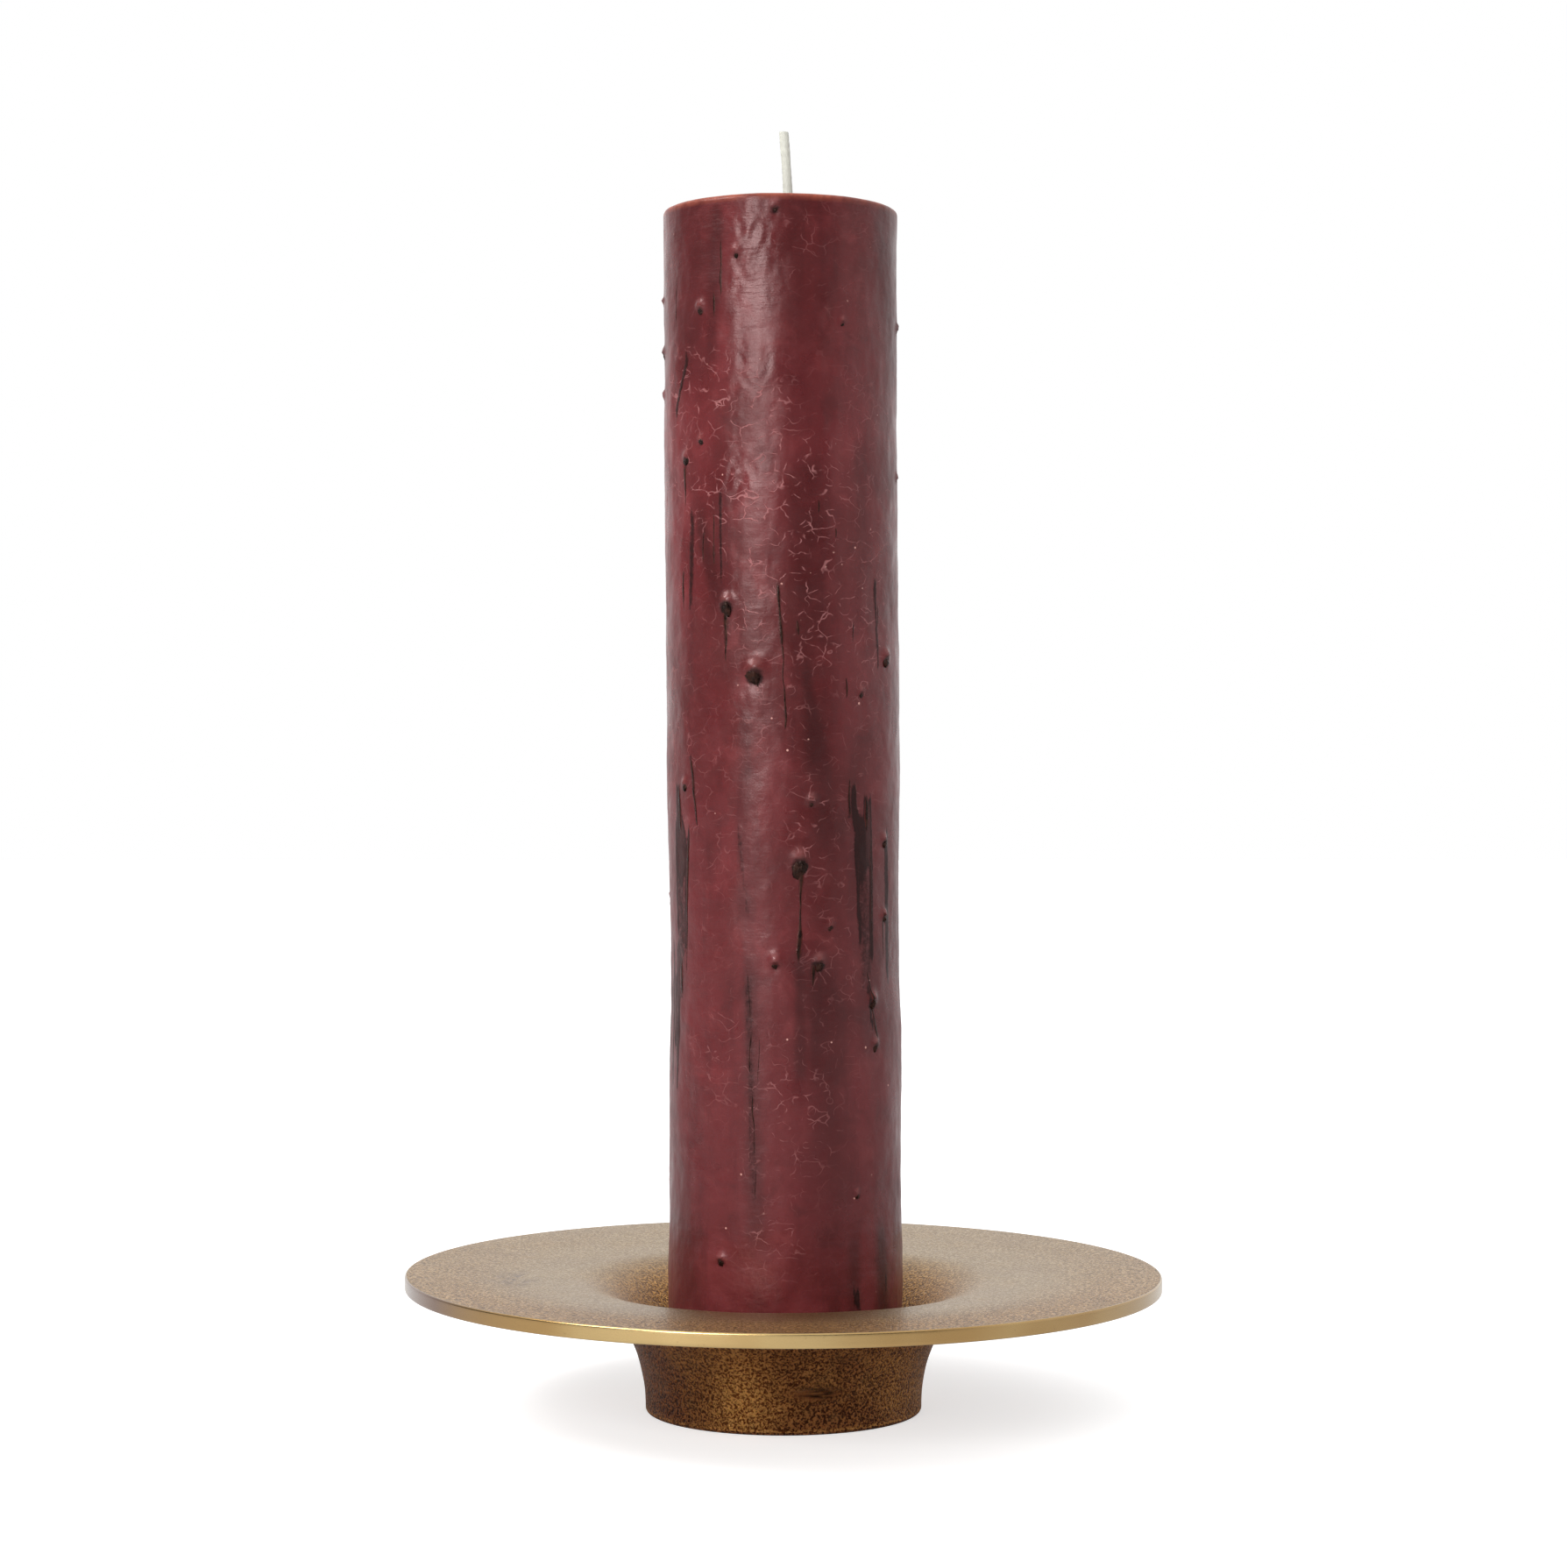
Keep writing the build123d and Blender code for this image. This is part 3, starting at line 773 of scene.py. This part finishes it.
def make_dish():
    """The whole casting as one closed turned mesh, with the unevenness of a sand casting."""
    radius, height, zone = dish_profile()
    inner = radius > 1e-6
    turn = np.linspace(0, 2 * pi, DISH_COLUMNS, endpoint=False)
    rr, tt = np.meshgrid(radius[inner], turn, indexing="ij")
    zz = np.repeat(height[inner][:, None], DISH_COLUMNS, 1)
    zones = np.repeat(zone[inner][:, None], DISH_COLUMNS, 1)
    outside, band = zones == "foot", zones == "band"
    below = np.isin(zones, ["under", "foot", "ring"])
    level = np.isin(zones, ["cup", "ring"]) | (band & (rr > RIM_R - 0.1 * MM))
    relief = np.where(level, 0.0, cast_relief(tt, rr, zz, outside))
    plate_fade = smooth((rr - CUP_R) / (8 * MM)) * smooth((RIM_R - rr) / (6 * MM))
    foot_fade = smooth((zz - FOOT_BOTTOM - 1.5 * MM) / (3 * MM))
    scar, scarred = foot_scar(tt, zz)
    rr = rr + np.where(outside, (relief + scar) * foot_fade, 0.0)
    zz = zz + np.where(outside, 0.0, relief * plate_fade)
    x, y = rr * np.sin(tt), -rr * np.cos(tt)
    zz = zz - PLATE_TILT * x * smooth((rr - FOOT_R) / (RIM_R - FOOT_R))
    vertices = np.stack([x, y, zz], -1).reshape(-1, 3).tolist()
    vertices += [(0.0, 0.0, height[0]), (0.0, 0.0, height[-1])]

    throat = 1 - smooth((rr - 35 * MM) / (21 * MM))
    spot = np.exp(-(((x - SPOT_X) / SPOT_HALF_X) ** 2) - ((y - SPOT_Y) / SPOT_HALF_Y) ** 2)
    # Painted shade at the front of the plate: the mask rises towards the rim on the camera's side,
    # where the plate mirrors the dark candle and room; it also deepens the grain there.
    coarse_and_front_shade = 0.1 + 0.9 * smooth((rr - 60 * MM) / (26 * MM)) * (0.5 + 0.5 * np.cos(tt))
    # Painted highlight on the foot, strongest low down, with a bright line along its lower corner;
    # on the band this attribute holds painted shade.
    painted_glint_and_shade = patches_round(tt, BRIGHT_ON_FOOT)
    painted_glint_and_shade *= 0.4 + 0.6 * bell((zz - 8 * MM) / (9 * MM))
    painted_glint_and_shade += 0.7 * bell((zz - FOOT_BOTTOM - 0.8 * MM) / (0.45 * MM))
    painted_glint_and_shade = np.where(outside, np.clip(painted_glint_and_shade, 0, 1), 0.0)
    attributes = {
        "coarse_and_front_shade": with_ends(np.where(below, 0.0, coarse_and_front_shade)),
        "painted_glint_and_shade": with_ends(np.where(band, patches_round(tt, DARKER_ON_BAND), painted_glint_and_shade)),
        "scar": with_ends(np.where(outside, scarred, 0.0)),
        "band": with_ends(np.where(band, 1.0, 0.0)),
        "under": with_ends(np.where(below, 1.0, 0.0), top=1),
        "throat": with_ends(np.where(below, 0.0, throat), base=1),
        "stain": with_ends(np.where(below, 0.0, spot)),
    }
    return new_mesh("dish", vertices, closed_tube(len(rr), DISH_COLUMNS), attributes)


# --- Candle ---


def lean(z):
    """How far the candle's axis is shifted along X at height z."""
    share = (z - LEAN_FROM) / (WAX_TOP - LEAN_FROM)
    return LEAN_LOW + (LEAN_HIGH - LEAN_LOW) * share


def mounds(turn, z):
    """Wax heaped over each bead, with a hollow below its crown where the bead shows."""
    total = np.zeros(np.broadcast(turn, z).shape)
    for across, up, width, rise, _ in from_beads(turn, z):
        heap = (across / (0.52 * width)) ** 2 + ((up - 0.2 * width) / (0.5 * width)) ** 2
        hollow = (across / (0.3 * width)) ** 2 + ((up + 0.3 * width) / (0.42 * width)) ** 2
        total = total + rise * MM * (1.6 * np.exp(-heap) - 0.8 * np.exp(-hollow))
    return total


def wax_lumps(turn, z):
    """Small unevenness of the hand-dipped side, a few millimetres to a few centimetres across."""
    turn, z = np.broadcast_arrays(turn, z)
    places = turned(turn, CANDLE_R, 0.6 * z).reshape(-1, 3)
    small = LUMP_SIZE * cloud(places, LUMP_SCALE, 3, 4)
    return (small + SWELL_SIZE * cloud(places, SWELL_SCALE, 9, 2)).reshape(z.shape)


def crumples(turn, z):
    """Swirled folds of the crumpled skin."""
    turn, z = np.broadcast_arrays(turn, z)
    share = np.clip(ovals(turn, z, CRUMPLED, radians(1), 1.5), 0, 1).ravel()
    folds = np.zeros(share.shape)
    near = np.flatnonzero(share > 0.02)
    if len(near):
        turns, heights = turn.ravel()[near], z.ravel()[near]
        sway = 0.004 * np.sin(turns * 19 + heights * 260)
        places = turned(turns, CANDLE_R, heights * 1.3 + sway, 0.5 * sway)
        folds[near] = share[near] * (0.5 - 2 * np.abs(cloud(places, CRUMPLE_SCALE, 6, 2)))
    return CRUMPLE_SIZE * folds.reshape(z.shape)


def wax_radius(turn, z):
    """The candle's radius from its axis."""
    waves = MM * ridges(turn, z, SIDE_WAVES, 21)
    dents = MM * ovals(turn, z, HOLLOWS, radians(1))
    lumpy = waves + wax_lumps(turn, z) + crumples(turn, z) - dents
    return CANDLE_R - SKIN_INSET + lumpy + mounds(turn, z)


def lip_glint(turn, z):
    """1 on the crown of the wax that covers a bead, 0 away from it: where a painted highlight goes.
    """
    total = np.zeros(np.broadcast(turn, z).shape)
    for across, up, width, _, _ in from_beads(turn, z):
        total = total + np.exp(-(across**2 + (up - 0.55 * width) ** 2) / (0.35 * width) ** 2)
    return np.clip(total, 0, 1)


def wax_shade(turn, z):
    """How strongly the wax is painted a darker red at each point, 0 to 1: partly darker wax, partly
    painted shade.
    """
    total = np.zeros(np.broadcast(turn, z).shape)
    for shade in SHADES:
        _, z_a, _, z_b, _, _, strength = shade
        across, half = from_band(shade, turn, z)
        beyond = np.maximum(np.maximum(z - z_a * MM, z_b * MM - z), 0)
        fade = bell(beyond / (5 * MM)) * np.exp(-((across / half) ** 3))
        total = 1 - (1 - total) * (1 - strength * fade)
    return total


def wax_stain_and_shadow(turn, z):
    """How dark the wax is stained at each point, 0 to 1: soft patches with ragged ends, and a
    painted shadow round every bead and run."""
    total = np.zeros(np.broadcast(turn, z).shape)
    drip = ridges(turn, 0 * z, DRIP_WAVES, 77) * MM
    for stain in STAINS + back_stains():
        _, z_a, _, z_b, _, _, darkness = stain
        across, half = from_band(stain, turn, z)
        beyond = np.maximum(z - z_a * MM - drip, z_b * MM - drip - z)
        ends = 1 - smooth(beyond / (5 * MM) + 0.5)
        total = np.maximum(total, darkness * ends * (1 - smooth((across - 0.5 * half) / half)))
    # Painted shadow: a soft dark halo round each run.
    for run in RUNS:
        _, z_a, _, z_b, _ = run
        centre, width = run_place(run, np.clip((z - z_a * MM) / ((z_b - z_a) * MM), 0, 1))
        across = np.abs(turn_gap(turn, centre)) * CANDLE_R
        beyond = np.maximum(np.maximum(z - z_a * MM, z_b * MM - z), 0)
        halo = bell(np.hypot(across, beyond) / (0.5 * width + 0.3 * MM))
        total = np.maximum(total, 0.42 * halo * np.clip(width / (0.7 * MM), 0.3, 1))
    # Painted shadow: a dark patch round the lower part of each bead.
    for across, up, width, _, bare in from_beads(turn, z):
        near = np.exp(-(across**2 + (up + 0.3 * width) ** 2) / (0.5 * width) ** 2)
        total = np.maximum(total, 0.7 * bare * near)
    return total


def wax_crazed(turn, z):
    """How strongly the wax is crazed at each point, 0 to 1."""
    return np.clip(ovals(turn, z, CRAZED, MM / CANDLE_R, 1.5) + 0.08, 0, 1)


def back_stains():
    """Each group as a handful of stains side by side, of uneven length and width."""
    draw = np.random.RandomState(31)
    stains = []
    for turn, top, bottom, width in DRIPS:
        for share in np.linspace(-0.5, 0.5, DRIPS_IN_GROUP):
            place = turn + np.degrees(share * width * MM / CANDLE_R) + draw.uniform(-1, 1)
            high = top - draw.uniform(0, 0.35) * (top - bottom)
            low = bottom + draw.uniform(0, 0.45) * (top - bottom)
            stains.append((place, high, place + draw.uniform(-1.5, 1.5), low,
                           draw.uniform(0.6, 2.4), draw.uniform(0.5, 1.6), draw.uniform(0.6, 1.0)))
    return stains


def candle_outline():
    """Inset from the side's radius, and height, from the candle's lower corner to its upper."""
    low = arc((-BOTTOM_ROUND, CUP_FLOOR + BOTTOM_ROUND), BOTTOM_ROUND, -90, 0, 5)
    high = arc((-TOP_ROUND, WAX_TOP - TOP_ROUND), TOP_ROUND, 0, 90, 7)
    side = resample([low[-1], high[0]], CANDLE_ROW)
    return np.array(low[:-1] + side + high[1:]).T


def make_candle():
    """The wax pillar, uneven as dipped wax is, with a slightly hollowed top round the wick."""
    inset, height = candle_outline()
    turn = np.linspace(0, 2 * pi, CANDLE_COLUMNS, endpoint=False)
    side_z, side_turn = np.meshgrid(height, turn, indexing="ij")
    side_r = wax_radius(side_turn, side_z) + inset[:, None]
    base_r = np.full((1, CANDLE_COLUMNS), BASE_RING * CANDLE_R)
    base_z = np.full((1, CANDLE_COLUMNS), CUP_FLOOR)
    top_r = np.repeat(np.array(TOP_RINGS)[:, None], CANDLE_COLUMNS, 1) * (CANDLE_R - TOP_ROUND)
    inward = smooth((CANDLE_R - top_r) / (6 * MM))
    collar = 0.9 * MM * bell((top_r - 2.5 * MM) / (2.2 * MM))
    wave = MM * ridges(turn[None, :], top_r, TOP_WAVES, 5)
    top_z = WAX_TOP + collar + (wave - 0.5 * MM) * inward
    rr = np.concatenate([base_r, side_r, top_r])
    zz = np.concatenate([base_z, side_z, top_z])
    tt = np.broadcast_to(turn, rr.shape)
    vertices = turned(tt, rr, zz, lean(zz)).reshape(-1, 3).tolist()
    wick_foot = float(zz[-1].mean())
    vertices += [(lean(CUP_FLOOR), 0.0, CUP_FLOOR), (lean(WAX_TOP), 0.0, wick_foot)]
    # Painted light at the rim of the top: where light glows through the thin wax.
    edge = bell((rr - CANDLE_R + 0.8 * MM) / (1.0 * MM))
    edge = edge * smooth((zz - WAX_TOP) / (1.7 * MM) + 1.2)
    attributes = {
        "stain": with_ends(wax_stain_and_shadow(tt, zz)),
        "shade": with_ends(wax_shade(tt, zz)),
        "lip": with_ends(lip_glint(tt, zz)),
        "edge": with_ends(edge),
        "crazed": with_ends(wax_crazed(tt, zz), 0.1, 0.1),
    }
    return new_mesh("candle", vertices, closed_tube(len(rr), CANDLE_COLUMNS), attributes)


def on_candle(turn, z, out=0.0):
    """Points on the candle's side, or that far out from it."""
    return turned(turn, wax_radius(turn, z) + out, z, lean(z))


def run_place(run, along):
    """Turn in radians and width in metres of a run at each share of its length."""
    turn_a, _, turn_b, _, widths = run
    stops = np.linspace(0, 1, len(widths))
    width = np.interp(along, stops, widths) * 0.1 * MM
    return np.radians(turn_a + (turn_b - turn_a) * along), width


def run_strip(run, seed):
    """One run: a low rounded ridge with ragged sides that thins to nothing at both ends."""
    _, z_a, _, z_b, _ = run
    rows = max(6, int((z_a - z_b) * MM / RUN_ROW))
    along = np.linspace(0, 1, rows)[:, None]
    across = np.linspace(-1, 1, RUN_COLUMNS)[None, :]
    turn, width = run_place(run, along)
    length = (z_a - z_b) / RUN_STRETCH
    wander = ridges(along * 9 * length, 0 * along, [(1, 1, 0.5), (2, 1, 0.3)], seed)
    ragged = 1 + ridges(along * 20 * length, 0 * along, [(1, 1, 0.14), (3, 1, 0.10)], seed + 50)
    ends = np.sqrt(np.clip(np.minimum(along, 1 - along) * 2 * max(length, 0.35) * 6, 0, 1))
    half = width / 2 * ragged * ends
    z = (z_a + (z_b - z_a) * along) * MM + 0 * across
    turn = turn + wander * 0.3 * MM / CANDLE_R + half * 1.25 * across / CANDLE_R
    swell = np.clip(1 - across**2, 0, 1) * ends
    points = on_candle(turn, z, 0.14 * half * swell - RUN_SUNK + RUN_CROWN * swell)
    thin = np.maximum(np.abs(across) ** 1.6 * np.ones_like(z), 1 - ends)
    return points.reshape(-1, 3), thin.ravel(), rows


def make_runs():
    """All the runs as one piece."""
    vertices, faces, thin = [], [], []
    for seed, run in enumerate(RUNS):
        points, edge, rows = run_strip(run, seed)
        first = len(vertices)
        vertices += points.tolist()
        thin += edge.tolist()
        for i in range(rows - 1):
            for j in range(RUN_COLUMNS - 1):
                corner = first + i * RUN_COLUMNS + j
                faces.append((corner, corner + RUN_COLUMNS, corner + RUN_COLUMNS + 1, corner + 1))
    return new_mesh("black_runs", vertices, faces, {"thin": thin})


def bead_lump(unit, cuts, depths, seed):
    """How far an angular bead reaches in a direction, about 1."""
    facing = np.maximum(cuts @ np.array(unit), 0.05)
    lump = min(1.3, float((depths / facing).min()))
    return lump + 0.34 * noise.noise(unit * 3.4 + Vector((seed * 1.7, 9.0, 1.0)))


def make_beads():
    """Beads of black wax, each an angular lump sunk in the hollow of the wax round it."""
    draw = np.random.RandomState(12)
    vertices, faces = [], []
    for seed, (turn, height, width, _, bare) in enumerate(BEADS):
        turn, low = radians(turn), (height - 0.25 * width) * MM
        axes = np.array([(cos(turn), sin(turn), 0), (0, 0, 1), (sin(turn), -cos(turn), 0)])
        axes = axes * np.array(BEAD_HALF)[:, None] * width * bare * MM
        seat = on_candle(np.array(turn), np.array(low), -0.03 * width * MM)
        first = len(vertices)
        cuts = draw.normal(size=(BEAD_CUTS, 3))
        cuts /= np.linalg.norm(cuts, axis=1)[:, None]
        depths = draw.uniform(0.58, 1.05, BEAD_CUTS)
        for i in range(BEAD_RINGS + 1):
            tilt = pi * i / BEAD_RINGS
            for j in range(BEAD_COLUMNS):
                spin = 2 * pi * j / BEAD_COLUMNS
                unit = Vector((sin(tilt) * cos(spin), sin(tilt) * sin(spin), cos(tilt)))
                lump = bead_lump(unit, cuts, depths, seed)
                vertices.append(tuple(seat + np.array(unit) @ axes * lump))
        faces += ring_faces(BEAD_RINGS + 1, BEAD_COLUMNS, first)
    return new_mesh("black_beads", vertices, faces, {"thin": np.zeros(len(vertices))})


# --- Wick and felt ---


def wick_line(t):
    """Middle of the wick at share t of its length: up out of the wax, then leaning left."""
    low, high = WAX_TOP - WICK_SUNK, WICK_TOP - 0.1 * MM
    z = low + (high - low) * t
    free = np.clip((z - WAX_TOP) / (high - WAX_TOP), 0, 1)
    x = 1.25 * MM - 1.2 * MM * free**1.5
    return np.stack([x, 0.15 * MM * np.sin(free * 3.0), z], -1)


def make_wick():
    """Braided cotton wick, stiff with wax, so that the plaits show only as shallow waves."""
    t = np.linspace(0, 1, WICK_ROWS)[:, None]
    spin = np.linspace(0, 2 * pi, WICK_COLUMNS, endpoint=False)[None, :]
    centre = wick_line(t[:, 0])
    rise = (centre[:, 2] - centre[0, 2])[:, None] / WICK_PLAIT * 2 * pi
    plait = 0.022 * np.sin(rise + 2 * spin) * np.cos(rise - 2 * spin)
    yarns = 0.018 * np.sin(14 * spin + 0.8 * rise) + 0.010 * np.sin(23 * spin - 1.7 * rise)
    swell = 1 + plait + yarns + 0.03 * np.sin(0.37 * rise + 1.0)
    tip = np.where(t > 0.995, 0.93, 1.0)
    x = centre[:, :1] + WICK_HALF_X * np.cos(spin) * swell * tip
    y = centre[:, 1:2] + WICK_HALF_Y * np.sin(spin) * swell * tip
    z = centre[:, 2:] + 0 * spin
    vertices = np.stack([x, y, z], -1).reshape(-1, 3).tolist()
    vertices += [tuple(centre[0]), tuple(centre[-1] - np.array([0, 0, 0.15 * MM]))]
    return new_mesh("braided_wick", vertices, closed_tube(WICK_ROWS, WICK_COLUMNS))


def make_pad():
    """Felt disc with a soft cut edge and an uneven matted face."""
    thickness = PAD_TOP - PAD_LOW.z
    outline = [(r * PAD_R, PAD_LOW.z) for r in PAD_FACE_RINGS]
    outline += arc((PAD_R - PAD_CORNER, PAD_LOW.z + PAD_CORNER), PAD_CORNER, -90, 0, 4)
    outline += [(PAD_R, PAD_LOW.z + thickness * 0.7), (PAD_R - 0.2 * MM, PAD_TOP - 0.05 * MM)]
    turn = np.linspace(0, 2 * pi, PAD_COLUMNS, endpoint=False)
    radius, height = (np.array(v)[:, None] for v in zip(*outline))
    fuzz = np.random.RandomState(4).uniform(-1, 1, (len(outline), PAD_COLUMNS))
    rr = np.minimum(radius + 0.05 * MM * fuzz * (radius > PAD_R * 0.9), PAD_R)
    zz = height + 0.04 * MM * np.abs(fuzz) + 0 * turn
    vertices = turned(turn, rr, zz).reshape(-1, 3).tolist()
    vertices += [(0, 0, PAD_LOW.z), (0, 0, PAD_TOP - 0.05 * MM)]
    return new_mesh("felt_disc", vertices, closed_tube(len(outline), PAD_COLUMNS))


# --- Studio ---


def make_camera():
    """Level camera in front of the candle, at half its height."""
    data = bpy.data.cameras.new("camera")
    data.lens = CAMERA_LENS
    data.sensor_width = CAMERA_SENSOR
    camera = new_object("camera", data)
    camera.location = (0.0, -CAMERA_DISTANCE, CAMERA_HEIGHT)
    camera.rotation_euler = (pi / 2, 0, 0)
    bpy.context.scene.camera = camera


def softbox(name, turn, distance, heights, width, radiance):
    """Upright soft light at that turn, between two heights, facing the candle."""
    low, high = heights
    data = bpy.data.lights.new(name, "AREA")
    data.shape = "RECTANGLE"
    data.size, data.size_y = width, high - low
    data.energy = radiance * pi * width * (high - low)
    light = new_object(name, data)
    place = Vector(turned(radians(turn), distance, (low + high) / 2))
    light.location = place
    light.rotation_euler = (LIGHT_TARGET - place).to_track_quat("-Z", "Y").to_euler()
    light.visible_camera = False


def make_world():
    """White backdrop and ceiling, dark on the camera's side, and white where seen directly."""
    world = bpy.data.worlds.new("studio")
    bpy.context.scene.world = world
    t = Tree(world, "Background")
    split = t.add("ShaderNodeSeparateXYZ")
    t.put(split.inputs[0], t.coordinates["Generated"])
    light = ROOM_DARK
    for axis, low, high, strength in ROOM_LIGHT:
        light = t.math("MAXIMUM", t.span(split.outputs[axis], low, high, 0.0, strength), light)
    seen = t.add("ShaderNodeLightPath").outputs["Is Camera Ray"]
    t.set(strength=t.blend(seen, light, 1.0), color=(1, 1, 1, 1))


def make_floor():
    """Large pale floor under the foot."""
    corners = [(x * FLOOR_HALF, y * FLOOR_HALF, 0) for x, y in ((-1, -1), (1, -1), (1, 1), (-1, 1))]
    floor = new_mesh("floor", corners, [(0, 1, 2, 3)])
    floor.data.materials.append(floor_material())


# --- Assembly ---


def dress(obj, material, body, node):
    """Gives a piece its material and body, and lets it stand for its CAD node."""
    obj.data.materials.append(material)
    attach(obj, body)
    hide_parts(node)


make_camera()
make_world()
make_floor()
for light in SOFTBOXES:
    softbox(*light)

black_wax = black_wax_material()
dress(make_dish(), brass_material(), "holder", "dish_casting")
dress(make_pad(), felt_material(), "holder", "felt_pad")
dress(make_candle(), wax_material(), "candle", "candle_wax")
dress(make_wick(), cotton_material(), "candle", "wick")
dress(make_beads(), black_wax, "candle", "black_wax_beads")
dress(make_runs(), black_wax, "candle", "black_wax_runs")

bpy.context.scene.view_settings.view_transform = "Standard"
